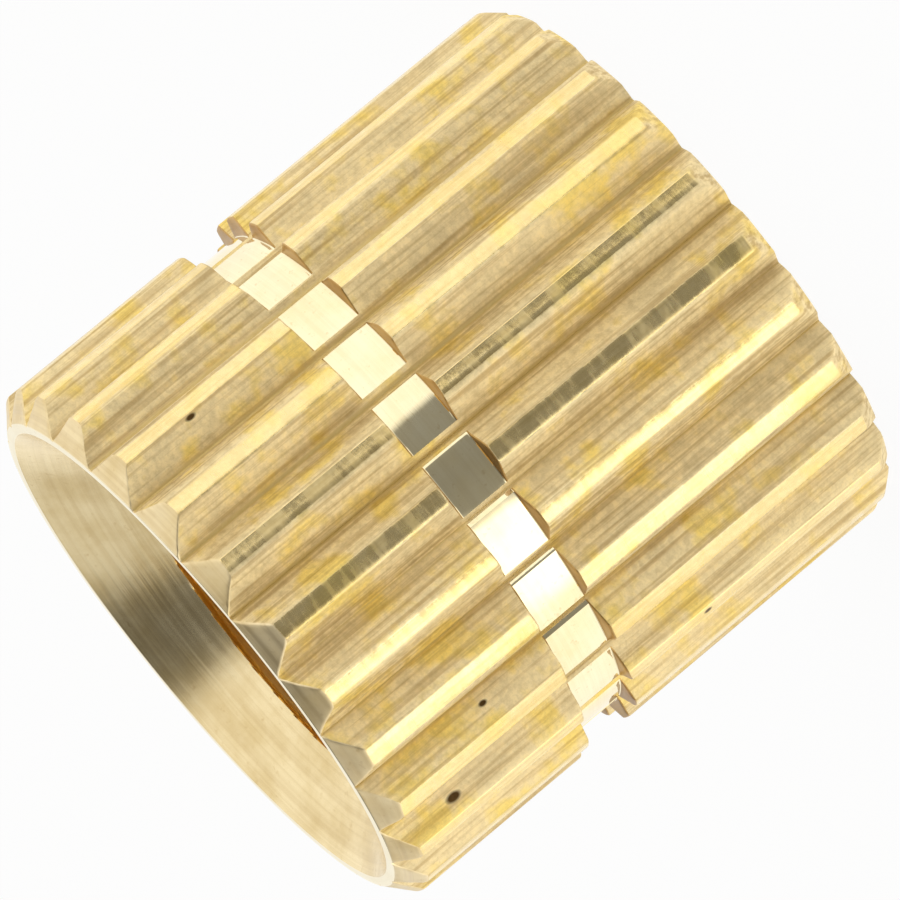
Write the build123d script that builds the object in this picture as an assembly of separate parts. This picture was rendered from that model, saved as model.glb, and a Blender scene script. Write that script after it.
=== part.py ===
"""Knurled brass threaded insert, M4, open right through.

One piece turned from round bar. It stands on end with its axis on +Z and the origin at the centre
of its bottom face. The outside is a straight V knurl, parted into two lands by a turned ring groove
nearer the top, and both ends are chamfered outside and countersunk inside, the top one deeper. The
hole has its tap drill size: the M4 x 0.7 thread itself is fine work for the surface model.
"""

import os
from math import cos, radians, sin, tan

from build123d import *

# Sizes in millimetres, each of them set by itself.
LENGTH = 6.0
CREST_DIAMETER = 6.0

# Straight knurl: V grooves between flat-topped teeth.
TEETH = 25
KNURL_DEPTH = 0.265
CREST_WIDTH = 0.21

# Ring groove between the two lands, measured from the top end.
TOP_LAND = 2.18
GROOVE_FLOOR_WIDTH = 0.53
GROOVE_MOUTH_WIDTH = 0.60
GROOVE_DEPTH = 0.21

# Chamfers on the outside corners: the length is along the axis, the depth is inwards.
TOP_CHAMFER_LENGTH = 0.21
TOP_CHAMFER_DEPTH = 0.24
BOTTOM_CHAMFER_LENGTH = 0.16
BOTTOM_CHAMFER_DEPTH = 0.13

# Tap drill for M4 x 0.7, and the countersinks at its two mouths. Each mouth is given by the flat
# rim left between it and the outside chamfer, so that the rim survives a change of diameter.
TAP_DRILL_DIAMETER = 3.3
TOP_RIM_WIDTH = 0.11
BOTTOM_RIM_WIDTH = 0.62
COUNTERSINK_ANGLE = 90.0

# Worked out from the sizes above.
crest_radius = CREST_DIAMETER / 2
root_radius = crest_radius - KNURL_DEPTH
floor_radius = crest_radius - GROOVE_DEPTH
drill_radius = TAP_DRILL_DIAMETER / 2
top_mouth_radius = crest_radius - TOP_CHAMFER_DEPTH - TOP_RIM_WIDTH
bottom_mouth_radius = crest_radius - BOTTOM_CHAMFER_DEPTH - BOTTOM_RIM_WIDTH
pitch_deg = 360 / TEETH
groove_centre = LENGTH - TOP_LAND - GROOVE_MOUTH_WIDTH / 2


def turned_blank():
    """The lathe-turned outside: a bar with chamfered ends and the ring groove."""
    outline = Polyline(
        (0, 0),
        (crest_radius - BOTTOM_CHAMFER_DEPTH, 0),
        (crest_radius, BOTTOM_CHAMFER_LENGTH),
        (crest_radius, groove_centre - GROOVE_MOUTH_WIDTH / 2),
        (floor_radius, groove_centre - GROOVE_FLOOR_WIDTH / 2),
        (floor_radius, groove_centre + GROOVE_FLOOR_WIDTH / 2),
        (crest_radius, groove_centre + GROOVE_MOUTH_WIDTH / 2),
        (crest_radius, LENGTH - TOP_CHAMFER_LENGTH),
        (crest_radius - TOP_CHAMFER_DEPTH, LENGTH),
        (0, LENGTH),
        close=True,
    )
    return revolve(Plane.XZ * make_face(outline), Axis.Z)


def knurl_grooves():
    """One long V groove per tooth, its flanks meeting the crests at the crest width."""
    half_gap = radians(pitch_deg / 2) - CREST_WIDTH / CREST_DIAMETER
    edge_x = crest_radius * cos(half_gap)
    edge_y = crest_radius * sin(half_gap)
    # The V carries on past the crests, so that it cuts clean through them.
    reach = 1.5
    outer_x = root_radius + (edge_x - root_radius) * reach
    section = make_face(
        Polyline((root_radius, 0), (outer_x, edge_y * reach), (outer_x, -edge_y * reach), close=True)
    )
    groove = extrude(section, LENGTH)
    # Half a pitch round, so that a crest lies on +X.
    return [Rot(0, 0, pitch_deg * (tooth + 0.5)) * groove for tooth in range(TEETH)]


def countersink(mouth_radius):
    """A cone with its mouth on the XY plane, narrowing upwards to the tap drill."""
    depth = (mouth_radius - drill_radius) / tan(radians(COUNTERSINK_ANGLE / 2))
    return Pos(0, 0, depth / 2) * Cone(mouth_radius, drill_radius, depth)


def hole():
    """The tap drill right through, with a countersink at each mouth."""
    drill = Pos(0, 0, LENGTH / 2) * Cylinder(drill_radius, LENGTH)
    bottom_mouth = countersink(bottom_mouth_radius)
    top_mouth = Pos(0, 0, LENGTH) * Rot(180, 0, 0) * countersink(top_mouth_radius)
    return drill + bottom_mouth + top_mouth


insert = turned_blank() - knurl_grooves() - hole()
insert.label = "knurled_insert"

os.makedirs("parts", exist_ok=True)
export_step(insert, "parts/knurled_insert.step")
print(f"knurled_insert: {insert.volume:.2f} cubic millimetres")
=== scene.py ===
# %% [markdown]
# # A knurled brass threaded insert
# The real part is one piece. It is turned from free-machining brass bar, its outside is pressed
# into teeth by a straight knurling wheel, a narrow ring groove is cut round it, and an M4 thread is
# tapped right through. The imported solid gives the sizes. This script adds the surface: softened
# edges, the thread, tool marks, knocks drawn as spots of painted shade, painted shade at the bottom
# of the knurl's valleys and the way old brass shines.

# %% Load the frame
import math

import bpy
import numpy as np
from mathutils import Matrix, Vector


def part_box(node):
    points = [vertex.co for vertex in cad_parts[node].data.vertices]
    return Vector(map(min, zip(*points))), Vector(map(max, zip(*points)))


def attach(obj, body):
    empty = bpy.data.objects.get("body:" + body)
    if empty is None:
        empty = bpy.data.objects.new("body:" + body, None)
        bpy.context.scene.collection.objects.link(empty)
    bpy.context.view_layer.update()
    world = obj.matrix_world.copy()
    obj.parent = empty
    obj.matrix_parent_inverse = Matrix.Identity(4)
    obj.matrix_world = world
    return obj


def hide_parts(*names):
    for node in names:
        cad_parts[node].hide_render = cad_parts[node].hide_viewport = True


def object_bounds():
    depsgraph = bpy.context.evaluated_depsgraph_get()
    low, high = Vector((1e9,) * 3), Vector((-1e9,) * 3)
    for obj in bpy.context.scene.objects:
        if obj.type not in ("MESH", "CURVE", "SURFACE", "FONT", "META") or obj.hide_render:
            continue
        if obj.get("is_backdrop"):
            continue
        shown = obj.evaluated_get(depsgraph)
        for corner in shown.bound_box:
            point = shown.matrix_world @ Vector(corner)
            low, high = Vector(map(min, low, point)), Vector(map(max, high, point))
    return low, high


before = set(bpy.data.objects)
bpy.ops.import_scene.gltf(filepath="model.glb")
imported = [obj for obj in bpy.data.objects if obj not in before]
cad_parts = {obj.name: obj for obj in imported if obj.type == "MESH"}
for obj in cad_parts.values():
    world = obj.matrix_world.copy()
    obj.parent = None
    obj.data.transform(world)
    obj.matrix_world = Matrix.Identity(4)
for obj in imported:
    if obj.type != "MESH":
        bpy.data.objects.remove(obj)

cad_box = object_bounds()
NODE = "knurled_insert"
low, high = (np.array(corner, float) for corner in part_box(NODE))
MM = 0.001
LENGTH = (high[2] - low[2]) / MM
CREST_RADIUS = round((high[1] - low[1]) / 2 / MM, 2)
print(f"the insert is {LENGTH:.2f} mm long and {2 * CREST_RADIUS:.2f} mm over the knurl")

# %% [markdown]
# ## The profile
# A lathe part is a profile turned about an axis. Here the profile changes round the part, because
# the knurl's V grooves cut into it, so each corner of the profile is an array with one value for
# each column of the grid. Sizes are in millimetres. The far wall of the ring groove is a little
# steeper than the near one.

# %% Sizes of the blank
TEETH = 25
PITCH = 2 * np.pi / TEETH
KNURL_DEPTH, CREST_WIDTH = 0.265, 0.21
TOP_LAND, GROOVE_DEPTH = 2.18, 0.21
GROOVE_HALF_FLOOR, NEAR_HALF_MOUTH, FAR_HALF_MOUTH = 0.265, 0.30, 0.275
TOP_CHAMFER_LENGTH, TOP_CHAMFER_DEPTH = 0.21, 0.24
BOTTOM_CHAMFER_LENGTH, BOTTOM_CHAMFER_DEPTH = 0.16, 0.13
TOP_MOUTH_RADIUS, BOTTOM_MOUTH_RADIUS = 2.65, 2.25

ROOT_RADIUS = CREST_RADIUS - KNURL_DEPTH
CREST_HALF_ANGLE = CREST_WIDTH / 2 / CREST_RADIUS
FLOOR_RADIUS = CREST_RADIUS - GROOVE_DEPTH
GROOVE_CENTRE = LENGTH - TOP_LAND - NEAR_HALF_MOUTH
print(f"radii in mm: knurl root {ROOT_RADIUS:.3f}, groove floor {FLOOR_RADIUS:.2f}")

# %% [markdown]
# ## The knurl
# A knurling wheel rolls straight V grooves into the bar and leaves a narrow flat on each tooth.
# The flank is a straight line in the cross-section, so its radius follows from the line's equation.
# No wheel is perfect, so each valley here is a little deeper or further round than the next, and
# the wheel's own marks run along the flanks as fine lines.

# %% Columns round the part and the knurl's radius at each
rng = np.random.default_rng(11)
COLUMNS_FROM_VALLEY = (0.45, 1.15, 1.55, 2.6, 3.9, 4.75, 5.15, 5.55, 6.3)    # degrees, each side
VALLEY_SHIFT, VALLEY_DEPTH_CHANGE, ROLLED_LINES = np.radians(0.10), 0.006, 0.004
EDGE_SOFTNESS, CREST_CLEARANCE = 0.014, 0.004


def column_angles():
    """Angles round the part. In each tooth they bunch at the groove floor's edge and the crest's."""
    half = np.radians(COLUMNS_FROM_VALLEY)
    tooth = np.concatenate([-half[::-1], [0.0], half, [PITCH / 2]])
    return (PITCH * (np.arange(TEETH)[:, None] + 0.5) + tooth[None, :]).ravel()


def knurl_radius(angle):
    """The radius of the knurl at each angle.

    Seen from its valley, a flank is a straight line that climbs by the slope for each step
    sideways. Its radius is the root radius, divided by the cosine of the angle from the valley less
    the slope times the sine. A soft minimum joins the line to the round crest and rounds the edge.
    """
    tooth = np.minimum(np.floor(angle / PITCH).astype(int), TEETH - 1)
    half_gap = PITCH / 2 - CREST_HALF_ANGLE
    slope = (CREST_RADIUS * np.cos(half_gap) - ROOT_RADIUS) / (CREST_RADIUS * np.sin(half_gap))
    shift = rng.normal(0, VALLEY_SHIFT, TEETH)[tooth]
    deeper = rng.normal(0, VALLEY_DEPTH_CHANGE, TEETH)[tooth]
    off = np.abs(angle - PITCH * (tooth + 0.5) - shift)
    flank = (ROOT_RADIUS + deeper) / (np.cos(off) - slope * np.sin(off))
    crest = CREST_RADIUS - CREST_CLEARANCE
    gap = np.clip((flank - crest) / EDGE_SOFTNESS, -30, 30)
    on_flank = 1 / (1 + np.exp(gap - 2))
    lines = rng.normal(0, ROLLED_LINES, angle.size) * on_flank
    return np.minimum(crest - EDGE_SOFTNESS * np.log1p(np.exp(-gap)) + lines, CREST_RADIUS)


angles = column_angles()
knurl = knurl_radius(angles)
print(f"{len(angles)} columns, knurl from {knurl.min():.3f} to {knurl.max():.3f} mm")

# %% [markdown]
# ## The outside, corner by corner
# Every corner of the profile is where two cuts meet at that column. A corner is never sharp on a
# real turned part, so each one becomes a short curve, and the stretches between get plain rows.
# Each stretch is a zone, numbered from the top face over the outside to the bottom face.

# %% Rows of the outside
(TOP_FACE, TOP_CHAMFER, NEAR_LAND, NEAR_WALL, GROOVE_FLOOR, FAR_WALL, FAR_LAND, BOTTOM_CHAMFER,
 BOTTOM_FACE, BOTTOM_MOUTH, INSIDE) = range(11)
PLAIN_ROWS = [1, 2, 3, 1, 3, 1, 4, 2, 1]         # between the curves, zone by zone
CURVE_PLACES = (0.0, 0.33, 0.67, 1.0)
MOST_OF_A_SIDE = 0.45
NEAR_WALL_WANDER, FAR_WALL_WANDER, CHAMFER_WANDER = 0.009, 0.008, 0.05


def uneven(amount):
    """Slow random change round the part: a sum of six waves, each fitting round it without a gap."""
    waves = np.arange(7, 34, 5)
    phase = rng.uniform(0, 2 * np.pi, waves.size)
    return amount * np.sin(np.outer(angles, waves) + phase).sum(axis=1) / math.sqrt(waves.size / 2)


def outer_corners():
    """Corners from the top mouth over the outside to the bottom mouth: (radius, height, rounding).

    A share says how much of a chamfer or a groove wall is left at a column: none where the knurl
    has cut it away, all of it on a crest.
    """
    full = np.ones_like(knurl)
    top_face = CREST_RADIUS - TOP_CHAMFER_DEPTH
    bottom_face = CREST_RADIUS - BOTTOM_CHAMFER_DEPTH
    top_share = np.clip((knurl - top_face) / TOP_CHAMFER_DEPTH, 0, 1)
    bottom_share = np.clip((knurl - bottom_face) / BOTTOM_CHAMFER_DEPTH, 0, 1)
    wall_share = np.clip((knurl - FLOOR_RADIUS) / (CREST_RADIUS - FLOOR_RADIUS), 0, 1)
    near_wall = GROOVE_HALF_FLOOR + (NEAR_HALF_MOUTH - GROOVE_HALF_FLOOR) * wall_share
    far_wall = GROOVE_HALF_FLOOR + (FAR_HALF_MOUTH - GROOVE_HALF_FLOOR) * wall_share
    near_wall = near_wall + uneven(NEAR_WALL_WANDER) * wall_share
    far_wall = far_wall + uneven(FAR_WALL_WANDER) * wall_share
    top_share = top_share * (1 + uneven(CHAMFER_WANDER))
    floor = np.minimum(knurl, FLOOR_RADIUS)
    return [
        (TOP_MOUTH_RADIUS * full, LENGTH * full, 0.012),
        (np.minimum(knurl, top_face), LENGTH * full, 0.012),
        (knurl, LENGTH - TOP_CHAMFER_LENGTH * top_share, 0.030),
        (knurl, GROOVE_CENTRE + near_wall, 0.028),
        (floor, GROOVE_CENTRE + GROOVE_HALF_FLOOR * full, 0.020),
        (floor, GROOVE_CENTRE - GROOVE_HALF_FLOOR * full, 0.020),
        (knurl, GROOVE_CENTRE - far_wall, 0.028),
        (knurl, BOTTOM_CHAMFER_LENGTH * bottom_share, 0.035),
        (np.minimum(knurl, bottom_face), 0 * full, 0.015),
        (BOTTOM_MOUTH_RADIUS * full, 0 * full, 0.015),
    ]


def rounded_rows(corners):
    """Rows of the grid and their zones: plain rows on each side and a curve round each corner.

    A curve leaves one side and joins the next one rounding away, or less on a short side. At place
    t, its first end weighs one less t, squared, its last end weighs t squared, and the corner has
    the rest.
    """
    points = [np.stack([radius, height]) for radius, height, _ in corners]
    sides = [after - before for before, after in zip(points, points[1:])]
    lengths = [np.maximum(np.hypot(*side), 1e-9) for side in sides]

    def share_of_side(corner, side):
        return np.minimum(corners[corner][2] / lengths[side], MOST_OF_A_SIDE)

    rows, zones = [points[0]], [TOP_FACE]
    for i in range(1, len(points) - 1):
        before, after = share_of_side(i, i - 1), share_of_side(i, i)
        start = 0.0 if i == 1 else share_of_side(i - 1, i - 1)
        for t in np.arange(1, PLAIN_ROWS[i - 1] + 1) / (PLAIN_ROWS[i - 1] + 1):
            rows.append(points[i - 1] + sides[i - 1] * (start + (1 - before - start) * t))
            zones.append(i - 1)
        first = points[i] - sides[i - 1] * before
        last = points[i] + sides[i] * after
        for t in CURVE_PLACES:
            rows.append((1 - t) ** 2 * first + 2 * t * (1 - t) * points[i] + t**2 * last)
            zones.append(i - 1 if t < 0.5 else i)
    return rows + [points[-1]], zones + [BOTTOM_MOUTH]


outer, outer_zones = rounded_rows(outer_corners())
print(f"{len(outer)} rows on the outside")

# %% [markdown]
# ## The thread
# An M4 thread has a 0.7 mm pitch. Its section is a 60 degree V whose flanks repeat along the axis,
# and the whole pattern turns right-handed as it climbs. The tapped hole ends in two countersinks,
# so the inside is whichever cut reaches furthest out at that height and angle. Rows lie close
# together only up in the mouth, where the thread can be seen.

# %% Rows of the inside
THREAD_PITCH, THREAD_MAJOR, THREAD_MINOR = 0.7, 2.10, 1.65      # the last two are radii
THREAD_HALF_ANGLE = math.radians(30)
THREAD_START = 0.75         # in turns


def inner_radius(height, angle):
    """The largest of the two countersink cones and the thread's V at this height and angle.

    The thread's groove has a flat bottom an eighth of a pitch wide. From there its radius falls by
    the distance along the axis divided by the tangent of half the thread's angle.
    """
    turn = (height - THREAD_PITCH * angle / (2 * np.pi)) / THREAD_PITCH + THREAD_START
    across = np.abs(turn - np.round(turn)) * THREAD_PITCH
    groove = THREAD_MAJOR - np.maximum(across - THREAD_PITCH / 16, 0) / math.tan(THREAD_HALF_ANGLE)
    thread = np.maximum(groove, THREAD_MINOR)
    cone = max(TOP_MOUTH_RADIUS - (LENGTH - height), BOTTOM_MOUTH_RADIUS - height)
    return np.maximum(thread, cone)


heights = np.concatenate([
    np.arange(0.08, LENGTH - 1.15, 0.066),
    np.arange(LENGTH - 1.14, LENGTH - 0.54, 0.011),
    LENGTH - np.array([0.40, 0.30, 0.20, 0.10, 0.03]),
])
inner = [np.stack([inner_radius(height, angles), np.full_like(angles, height)]) for height in heights]
print(f"{len(inner)} rows inside")

# %% [markdown]
# ## One closed skin
# The rows close on themselves, outside then inside, and the columns close round the axis, so the
# grid is a ring with no seam and no poles. Each face takes its finish from the zone it lies in.

# %% Make the mesh
KNURLED, TURNED, SUNK, SCRAPED_AND_SHADED, TAPPED, CHAMFERED = range(6)
ON_THE_CONE, BELOW_THE_FLOOR = 0.004, 0.001
SHARP_EDGE = math.radians(28)


def grid_mesh(name, rows):
    """A ring of rows by columns, closed both ways, with every face pointing outwards."""
    radius = np.stack([row[0] for row in rows])
    height = np.stack([row[1] for row in rows])
    points = np.stack([radius * np.cos(angles), radius * np.sin(angles), height], axis=-1)
    index = np.arange(radius.size).reshape(radius.shape)
    below = np.roll(index, -1, axis=0)
    faces = np.stack([index, below, np.roll(below, -1, axis=1), np.roll(index, -1, axis=1)], axis=-1)
    mesh = bpy.data.meshes.new(name)
    mesh.vertices.add(index.size)
    mesh.vertices.foreach_set("co", (points * MM).ravel())
    mesh.loops.add(faces.size)
    mesh.loops.foreach_set("vertex_index", faces.ravel())
    mesh.polygons.add(index.size)
    mesh.polygons.foreach_set("loop_start", np.arange(index.size) * 4)
    mesh.update(calc_edges=True)
    mesh.validate()
    return mesh, radius, height


def face_finishes(radius, height):
    """The finish of each face, by its zone.

    Inside, a face on either countersink's cone is sunk and the rest are tapped. The last row of
    faces closes the ring at the top mouth. In the ring groove, the knurl's valleys lie below the
    turned floor, so they keep the wheel's finish.
    """
    zone = np.array(outer_zones + [INSIDE] * len(inner))
    finish = np.full(radius.shape, TURNED)
    finish[np.isin(zone, (NEAR_LAND, FAR_LAND, BOTTOM_CHAMFER))] = KNURLED
    finish[zone == BOTTOM_FACE] = SUNK
    finish[zone == TOP_CHAMFER] = CHAMFERED
    # The groove walls take the dull finish, whose darker brown colour is painted shade of the groove.
    finish[np.isin(zone, (NEAR_WALL, FAR_WALL))] = SCRAPED_AND_SHADED
    finish[zone == INSIDE] = TAPPED
    off_top = np.abs(height - (LENGTH - TOP_MOUTH_RADIUS + radius))
    off_bottom = np.abs(height - (BOTTOM_MOUTH_RADIUS - radius))
    finish[(zone[:, None] == INSIDE) & (np.minimum(off_top, off_bottom) < ON_THE_CONE)] = SUNK
    finish[-1] = SUNK
    in_groove = np.isin(zone, (NEAR_WALL, GROOVE_FLOOR, FAR_WALL))
    finish[in_groove[:, None] & (knurl < FLOOR_RADIUS - BELOW_THE_FLOOR)[None, :]] = KNURLED
    return finish.astype(np.int32)


mesh, radii, levels = grid_mesh("insert_skin", outer + inner)
skin = bpy.data.objects.new("insert_skin", mesh)
bpy.context.scene.collection.objects.link(skin)
mesh.polygons.foreach_set("material_index", face_finishes(radii, levels).ravel())
mesh.polygons.foreach_set("use_smooth", np.ones(len(mesh.polygons), bool))
mesh.set_sharp_from_angle(angle=SHARP_EDGE)
print(f"{len(mesh.polygons)} faces, {2 * len(mesh.polygons)} triangles")

# %% [markdown]
# ## Finishes
# All of it is the same brass, so small helpers make the nodes and each finish says how that surface
# was made: pressed by the wheel, cut by the turning tool, or cut by the tap.

# %% Node helpers
def linear(hex_colour):
    """An sRGB hex colour as linear red, green, blue and alpha."""
    srgb = np.array([int(hex_colour[i:i + 2], 16) for i in (1, 3, 5)]) / 255
    return (*np.where(srgb <= 0.04045, srgb / 12.92, ((srgb + 0.055) / 1.055) ** 2.4), 1.0)


def add(tree, kind, settings=None, **links):
    """Adds one node. Settings are its properties; links are its inputs, as sockets or plain values.

    An input is called by its name, or by i and its number.
    """
    node = tree.nodes.new(kind)
    for key, value in (settings or {}).items():
        setattr(node, key, value)
    for key, value in links.items():
        numbered = key[0] == "i" and key[1:].isdigit()
        socket = node.inputs[int(key[1:]) if numbered else key]
        if isinstance(value, bpy.types.NodeSocket):
            tree.links.new(value, socket)
        else:
            socket.default_value = value
    return node


def vector_math(tree, operation, first, second=None, output="Vector"):
    """One operation on one or two vectors, as sockets or plain values."""
    links = {"i0": first} if second is None else {"i0": first, "i1": second}
    return add(tree, "ShaderNodeVectorMath", {"operation": operation}, **links).outputs[output]


def number_math(tree, operation, *values):
    """One operation on numbers, as sockets or plain values."""
    links = {f"i{place}": value for place, value in enumerate(values)}
    return add(tree, "ShaderNodeMath", {"operation": operation}, **links).outputs[0]


def noise(tree, place, scale, detail=3.0, roughness=0.6):
    """Fractal noise with its scale in repeats per millimetre."""
    node = add(tree, "ShaderNodeTexNoise", i0=place, Scale=scale, Detail=detail, Roughness=roughness)
    return node.outputs[0]


def fit(tree, value, start, end, low=0.0, high=1.0):
    """Maps value from start..end to low..high and stops at both."""
    return add(tree, "ShaderNodeMapRange", i0=value, i1=start, i2=end, i3=low, i4=high).outputs[0]


def ramp(tree, source, stops):
    """A colour ramp over source, with stops as (place, colour); a colour is hex or linear."""
    node = add(tree, "ShaderNodeValToRGB", Fac=source)
    elements = node.color_ramp.elements
    while len(elements) < len(stops):
        elements.new(0.5)
    for element, (place, colour) in zip(elements, stops):
        element.position = place
        element.color = linear(colour) if isinstance(colour, str) else colour
    return node.outputs[0]


def blend(tree, amount, first, second, kind="MIX"):
    """One colour node that lays the second colour over the first by amount."""
    settings = {"data_type": "RGBA", "blend_type": kind}
    return add(tree, "ShaderNodeMix", settings, i0=amount, i6=first, i7=second).outputs[2]


def stain(tree, amount, colour, source, stops):
    """Multiplies a colour by a ramp over source, by amount."""
    return blend(tree, amount, colour, ramp(tree, source, stops), "MULTIPLY")


def between(tree, amount, first, second):
    """The number that lies between first and second by amount."""
    return add(tree, "ShaderNodeMix", {"data_type": "FLOAT"}, i0=amount, i2=first, i3=second).outputs[0]


def new_material(name):
    """An empty metallic material, the piece's own coordinates in mm and the distance from its axis."""
    material = bpy.data.materials.new(name)
    material.use_nodes = True
    tree = material.node_tree
    tree.nodes.clear()
    shader = add(tree, "ShaderNodeBsdfPrincipled", Metallic=1.0)
    output = add(tree, "ShaderNodeOutputMaterial")
    tree.links.new(shader.outputs[0], output.inputs[0])
    place = add(tree, "ShaderNodeTexCoord").outputs["Object"]
    in_mm = add(tree, "ShaderNodeVectorMath", {"operation": "SCALE"}, i0=place, Scale=1 / MM).outputs[0]
    flat = vector_math(tree, "MULTIPLY", in_mm, (1.0, 1.0, 0.0))
    from_axis = vector_math(tree, "LENGTH", flat, output="Value")
    return material, tree, shader, in_mm, from_axis


def finish_shader(tree, shader, colour, rough, strength, distance, height):
    """Sets the shader's colour and roughness, and a bump whose full height is distance mm."""
    tree.links.new(colour, shader.inputs["Base Color"])
    tree.links.new(rough, shader.inputs["Roughness"])
    bump = add(tree, "ShaderNodeBump", Strength=strength, Distance=distance * MM, Height=height)
    tree.links.new(bump.outputs[0], shader.inputs["Normal"])


print("brass is drawn in the piece's own coordinates, in millimetres")

# %% [markdown]
# ## Brass pressed by the wheel
# The knurl is satin, because the wheel's own face is dull. It carries long fine lines and cloudy
# handling stains. The very bottom of each valley is painted a browner colour as shade, and a few
# small knocks are drawn only as dark spots of painted shade. The narrow crests are what is left of
# the turned bar, so they are smoother and mirror the studio.

# %% Knurled brass
# Compass direction in degrees, height, length along the axis and width in millimetres.
KNOCKS = [(-154.3, 5.26, 0.09, 0.05), (-139.0, 4.60, 0.05, 0.03), (-60.0, 5.05, 0.06, 0.03),
          (-158.0, 2.30, 0.05, 0.03), (35.0, 4.40, 0.14, 0.05), (120.0, 1.30, 0.10, 0.05)]
STRETCH_ALONG, STRETCH_ACROSS = (1.0, 1.0, 0.025), (0.25, 0.25, 1.0)
CREST_BAND = (CREST_RADIUS - 0.009, CREST_RADIUS - 0.005)
# Between these radii, at the bottom of each valley, the colour is darkened as painted shade.
VALLEY_SHADE_BAND = (ROOT_RADIUS + 0.002, ROOT_RADIUS + 0.022)


def knock_shade_spots(tree, in_mm):
    """Soft spots of painted shade on the knurl's surface, one for each knock: 1 at its middle and 0
    round it.
    """
    turns = np.concatenate([angles - 2 * np.pi, angles])
    for compass, up, long_side, width in KNOCKS:
        turned = math.radians(compass)
        out = float(np.interp(turned, turns, np.concatenate([knurl, knurl])))
        centre = (out * math.cos(turned), out * math.sin(turned), up)
        off = vector_math(tree, "SUBTRACT", in_mm, centre)
        off = vector_math(tree, "MULTIPLY", off, (1 / width, 1 / width, 1 / long_side))
        yield fit(tree, vector_math(tree, "LENGTH", off, output="Value"), 0.6, 1.1, 1.0, 0.0)


def knurled_brass():
    """Satin brass with lines along the teeth, smoother on the crests, with faint marks across them."""
    material, tree, shader, in_mm, from_axis = new_material("brass_rolled_by_knurling_wheel")
    streaks = noise(tree, vector_math(tree, "MULTIPLY", in_mm, STRETCH_ALONG), 16.0)
    cross = noise(tree, vector_math(tree, "MULTIPLY", in_mm, STRETCH_ACROSS), 6.0, 3.0)
    grain = noise(tree, in_mm, 13.0, 5.0, 0.72)
    clouds = noise(tree, in_mm, 1.9, 3.0)
    on_crest = fit(tree, from_axis, *CREST_BAND)
    above_valley_shade = fit(tree, from_axis, *VALLEY_SHADE_BAND)

    tone = ramp(tree, clouds, [(0.34, "#eedfb6"), (0.50, "#f8e8bc"), (0.64, "#f9e492")])
    lined = stain(tree, 0.50, tone, streaks, [(0.36, "#bfa878"), (0.54, "#ffffff")])
    grained = stain(tree, 0.38, lined, grain, [(0.34, "#b8a478"), (0.60, "#ffffff")])
    crested = blend(tree, on_crest, grained, blend(tree, 0.40, linear("#efd48e"), grained))
    # Painted shade: a darker, browner colour at the very bottom of each valley.
    colour = blend(tree, above_valley_shade, linear("#dcc890"), crested)
    # Painted shade: each knock is only a dark spot in the colour, with no dent in the surface.
    for spot in knock_shade_spots(tree, in_mm):
        colour = blend(tree, spot, colour, linear("#5a4426"))

    satin = fit(tree, grain, 0.30, 0.70, 0.60, 0.80)
    smoother = fit(tree, cross, 0.44, 0.60, 0.17, 0.34)
    rough = between(tree, on_crest, satin, smoother)

    worn = number_math(tree, "MULTIPLY_ADD", grain, 1.2, streaks)
    faint = number_math(tree, "MULTIPLY", grain, 0.15)
    crossed = number_math(tree, "MULTIPLY_ADD", cross, 1.8, faint)
    relief = between(tree, on_crest, worn, crossed)
    finish_shader(tree, shader, colour, rough, 0.7, 0.009, relief)
    return material


knurl_finish = knurled_brass()
print("finish", knurl_finish.name)

# %% [markdown]
# ## Brass cut by a tool
# Every other face was cut while the part turned, so its marks are fine rings about the axis. The
# finishes differ in how sharp the tool was: the groove floor is nearly a mirror, the countersinks
# are brushed, and the groove walls, the top chamfer and the thread are duller.

# %% Turned and tapped brass
FEED_MARKS = 15.0           # per millimetre
DRIFT_SHARE = 0.02          # how much the rings wander with the place itself


def cut_brass(name, roughness, ring_strength, ring_tint, clean, soiled):
    """Brass with rings where the tool passed.

    The rings depend on the distance from the axis and the height, and hardly at all on the angle.
    They are drawn coarser than real feed marks, so that they show.
    """
    material, tree, shader, in_mm, from_axis = new_material(name)
    up = add(tree, "ShaderNodeSeparateXYZ", i0=in_mm).outputs[2]
    drift = add(tree, "ShaderNodeVectorMath", {"operation": "SCALE"}, i0=in_mm, Scale=DRIFT_SHARE)
    section = add(tree, "ShaderNodeCombineXYZ", i0=from_axis, i1=up).outputs[0]
    rings = noise(tree, vector_math(tree, "ADD", section, drift.outputs[0]), FEED_MARKS)
    clouds = noise(tree, in_mm, 1.6, 4.0)
    grit = noise(tree, in_mm, 13.0, 2.0)

    tone = ramp(tree, clouds, [(0.35, soiled), (0.60, clean)])
    gritty = stain(tree, 0.25, tone, grit, [(0.26, "#c9b288"), (0.36, "#ffffff")])
    ringed = stain(tree, ring_tint, gritty, rings, [(0.36, "#b8a274"), (0.58, "#ffffff")])
    rough = fit(tree, rings, 0.3, 0.7, roughness * 0.8, roughness * 1.2)
    finish_shader(tree, shader, ringed, rough, ring_strength, 0.006, rings)
    return material


# In the order of the finish numbers.
for finish in (
    knurl_finish,
    cut_brass("brass_cut_by_turning_tool", 0.055, 0.20, 0.10, "#f3e8c4", "#efe0b4"),
    cut_brass("brass_cut_by_countersink", 0.22, 0.50, 0.22, "#eedcb0", "#dcc694"),
    # Painted shade: the groove walls get a darker, browner colour than the other cut faces.
    cut_brass("brass_scraped_by_tool_side_painted_shade", 0.38, 0.60, 0.35, "#d2ae70", "#b08a50"),
    cut_brass("brass_cut_by_tap", 0.30, 0.40, 0.30, "#f8d890", "#ecc474"),
    cut_brass("brass_chamfered_by_turning_tool", 0.38, 0.60, 0.25, "#f0deb4", "#e0ca98"),
):
    mesh.materials.append(finish)
print(len(mesh.materials), "finishes on the skin")

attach(skin, "root")
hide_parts(NODE)

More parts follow.
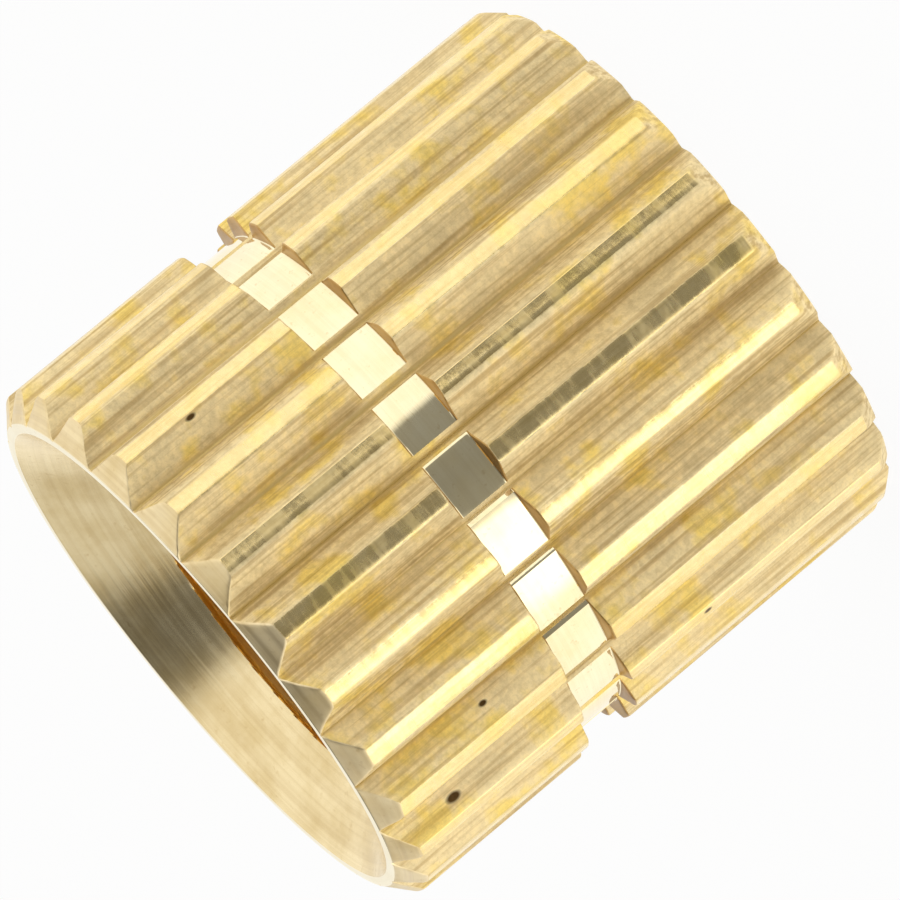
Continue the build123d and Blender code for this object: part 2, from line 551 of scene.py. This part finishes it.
# %% [markdown]
# ## Floor
# A pale sheet under the part catches a soft shadow. It is left out of mirror reflections, as if it
# lay well below a glass shelf, so that the metal shows the studio and not the sheet. It lies just
# clear of the bottom face, so the two never share a plane.

# %% Floor
FLOOR_HALF_WIDTH = 0.6      # metres
FLOOR_GAP = 0.01 * MM
GLOW_SHARE = 0.93


def floor_sheet():
    """A large square sheet under the part, bright enough to fade to white."""
    half, level = FLOOR_HALF_WIDTH, float(low[2]) - FLOOR_GAP
    sheet = bpy.data.meshes.new("floor")
    corners = [(-half, -half, level), (half, -half, level), (half, half, level), (-half, half, level)]
    sheet.from_pydata(corners, [], [(0, 1, 2, 3)])
    floor = bpy.data.objects.new("floor", sheet)
    bpy.context.scene.collection.objects.link(floor)
    material = bpy.data.materials.new("pale_sheet")
    material.use_nodes = True
    tree = material.node_tree
    tree.nodes.clear()
    diffuse = add(tree, "ShaderNodeBsdfDiffuse", Color=linear("#f4f4f4")).outputs[0]
    glow = add(tree, "ShaderNodeEmission", Color=linear("#ffffff"), Strength=1.0).outputs[0]
    mixed = add(tree, "ShaderNodeMixShader", i0=GLOW_SHARE, i1=diffuse, i2=glow).outputs[0]
    output = add(tree, "ShaderNodeOutputMaterial")
    tree.links.new(mixed, output.inputs[0])
    sheet.materials.append(material)
    floor.visible_glossy = False
    floor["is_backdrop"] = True


floor_sheet()
print(f"floor {FLOOR_GAP / MM:.2f} mm under the part")

# %% [markdown]
# ## Camera
# The part stands on its end, but the picture is turned, so that it seems to lie on a slant. A long
# lens looks at it from 11 degrees above its side, and the camera is rolled until the axis lies as
# wanted in the frame.

# %% Camera
VIEW_AZIMUTH, VIEW_HEIGHT, VIEW_DISTANCE = math.radians(-5.27), math.radians(11.05), 82 * MM
AXIS_SLANT = math.radians(219.7)        # anticlockwise from the right of the picture
SENSOR_WIDTH, PICTURE_WIDTH = 36, 900
PICTURE_PER_MM = 107.1                  # how much of the picture's width one millimetre takes
SHIFT_RIGHT, SHIFT_UP = 6.2, 3.4        # on the same scale
middle = Vector((0, 0, (low[2] + high[2]) / 2))
towards_camera = Vector((
    math.sin(VIEW_AZIMUTH) * math.cos(VIEW_HEIGHT),
    -math.cos(VIEW_AZIMUTH) * math.cos(VIEW_HEIGHT),
    math.sin(VIEW_HEIGHT),
))
level_right = Vector((0, 0, 1)).cross(towards_camera).normalized()
level_up = towards_camera.cross(level_right)


def rolled_camera():
    """A camera whose picture shows the part's axis at AXIS_SLANT.

    The lens length is the sensor's width for one millimetre of the part, times the distance.
    """
    side = AXIS_SLANT - math.pi / 2
    right = level_right * math.cos(side) + level_up * math.cos(AXIS_SLANT)
    up = level_right * math.sin(side) + level_up * math.sin(AXIS_SLANT)
    data = bpy.data.cameras.new("camera")
    camera = bpy.data.objects.new("camera", data)
    bpy.context.scene.collection.objects.link(camera)
    data.sensor_width = SENSOR_WIDTH
    data.lens = PICTURE_PER_MM * SENSOR_WIDTH / PICTURE_WIDTH * VIEW_DISTANCE / MM
    data.shift_x, data.shift_y = SHIFT_RIGHT / PICTURE_WIDTH, SHIFT_UP / PICTURE_WIDTH
    data.clip_start, data.clip_end = 1 * MM, 10
    turn = Matrix((right, up, towards_camera)).transposed().to_4x4()
    camera.matrix_world = Matrix.Translation(middle + towards_camera * VIEW_DISTANCE) @ turn
    bpy.context.scene.camera = camera
    print(f"lens {data.lens:.0f} mm")


rolled_camera()

# %% [markdown]
# ## Studio
# Polished metal shows what stands round it, so the studio is drawn as a wrap-round tent. Seen from
# the part, a dark gap stands behind the lens, a strong white panel just to one side of it and cream
# cloth all round. Overhead a narrower dark strip crosses the tent. The brightness round the horizon
# is a ramp over the compass direction, and overhead it is a ramp over the sideways direction. The
# table is cream cloth too, so the gap is a low window and rough brass next to it stays light.

# %% Studio
# Degrees from straight ahead and brightness.
ROUND_ABOUT = [(-180, 1.00), (-125, 1.25), (-60, 1.32), (-20.5, 1.30), (-18.5, 0.32), (10, 0.28),
               (23, 0.32), (29, 0.90), (32, 2.1), (68, 2.1), (76, 1.35), (125, 1.25), (180, 1.00)]
# Sideways part of the direction and brightness.
OVERHEAD = [(-1.0, 1.10), (-0.14, 1.12), (-0.06, 0.26), (0.10, 0.17), (0.36, 0.20), (0.46, 0.80),
            (1.0, 0.90)]
TABLE_CLOTH = (1.25, 1.23, 1.19, 1.0)
# Upward part of the direction at which the table, and the ceiling, take over from the walls.
TABLE_EDGE, CEILING_EDGE = (-0.62, -0.40), (0.28, 0.50)


def brightness(tree, place, stops):
    """A creamy grey ramp over place, with stops as (place, brightness)."""
    start, end = stops[0][0], stops[-1][0]
    greys = [((at - start) / (end - start), (value, value * 0.985, value * 0.95, 1.0))
             for at, value in stops]
    return ramp(tree, fit(tree, place, start, end), greys)


def studio():
    """World light for reflections only: the camera itself sees plain white."""
    world = bpy.data.worlds.new("studio")
    world.use_nodes = True
    bpy.context.scene.world = world
    tree = world.node_tree
    tree.nodes.clear()
    direction = add(tree, "ShaderNodeTexCoord").outputs["Generated"]
    ahead = Vector((towards_camera.x, towards_camera.y, 0)).normalized()
    front = vector_math(tree, "DOT_PRODUCT", direction, tuple(ahead), "Value")
    side = vector_math(tree, "DOT_PRODUCT", direction, tuple(-level_right), "Value")
    upwards = add(tree, "ShaderNodeSeparateXYZ", i0=direction).outputs[2]
    compass = number_math(tree, "DEGREES", number_math(tree, "ARCTAN2", side, front))
    on_table = fit(tree, upwards, *TABLE_EDGE, 1.0, 0.0)
    upright = blend(tree, on_table, brightness(tree, compass, ROUND_ABOUT), TABLE_CLOTH)
    high_up = fit(tree, upwards, *CEILING_EDGE)
    bright = blend(tree, high_up, upright, brightness(tree, side, OVERHEAD))
    lit = add(tree, "ShaderNodeBackground", Color=bright, Strength=1.0).outputs[0]
    white = add(tree, "ShaderNodeBackground", Color=(1.0, 1.0, 1.0, 1.0), Strength=1.0).outputs[0]
    seen = add(tree, "ShaderNodeLightPath").outputs["Is Camera Ray"]
    mixed = add(tree, "ShaderNodeMixShader", i0=seen, i1=lit, i2=white).outputs[0]
    output = add(tree, "ShaderNodeOutputWorld")
    tree.links.new(mixed, output.inputs[0])


studio()
bpy.context.scene.view_settings.view_transform = "Standard"
print("studio drawn round the part")

# %% Sizes and finish
model_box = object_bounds()
[[list(map(float, corner)) for corner in box] for box in (cad_box, model_box)]
print("solid", cad_box, "model", model_box)
